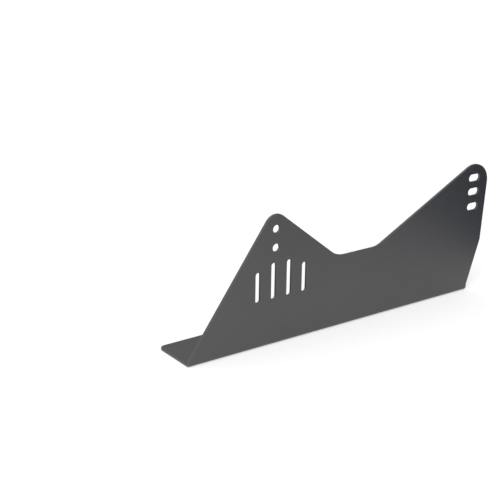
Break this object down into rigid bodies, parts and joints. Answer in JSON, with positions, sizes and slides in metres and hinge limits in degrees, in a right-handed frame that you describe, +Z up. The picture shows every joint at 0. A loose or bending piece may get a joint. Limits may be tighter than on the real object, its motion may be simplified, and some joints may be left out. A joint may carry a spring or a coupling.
{
  "type": "seat side mount",
  "caption": "Folded sheet bracket that carries the side of a shell seat: an eared upright plate with round and slotted bolt holes, on a stepped flange that bolts to a rail or floor.",
  "frame": {"origin": "on the floor plane, below the middle of the part's box: half way along it, and half way between the plate's outer face and the free edge of the flange's tab", "axes": "+X along the base towards the rear ear, +Y inward from the plate's outer face towards the seat, +Z up"},
  "size_m": [0.4223, 0.059, 0.1573],
  "materials": {
    "black_powder_coat": "satin black powder coat"
  },
  "bodies": {
    "root": {"side_mount": "black_powder_coat"}
  },
  "joints": []
}
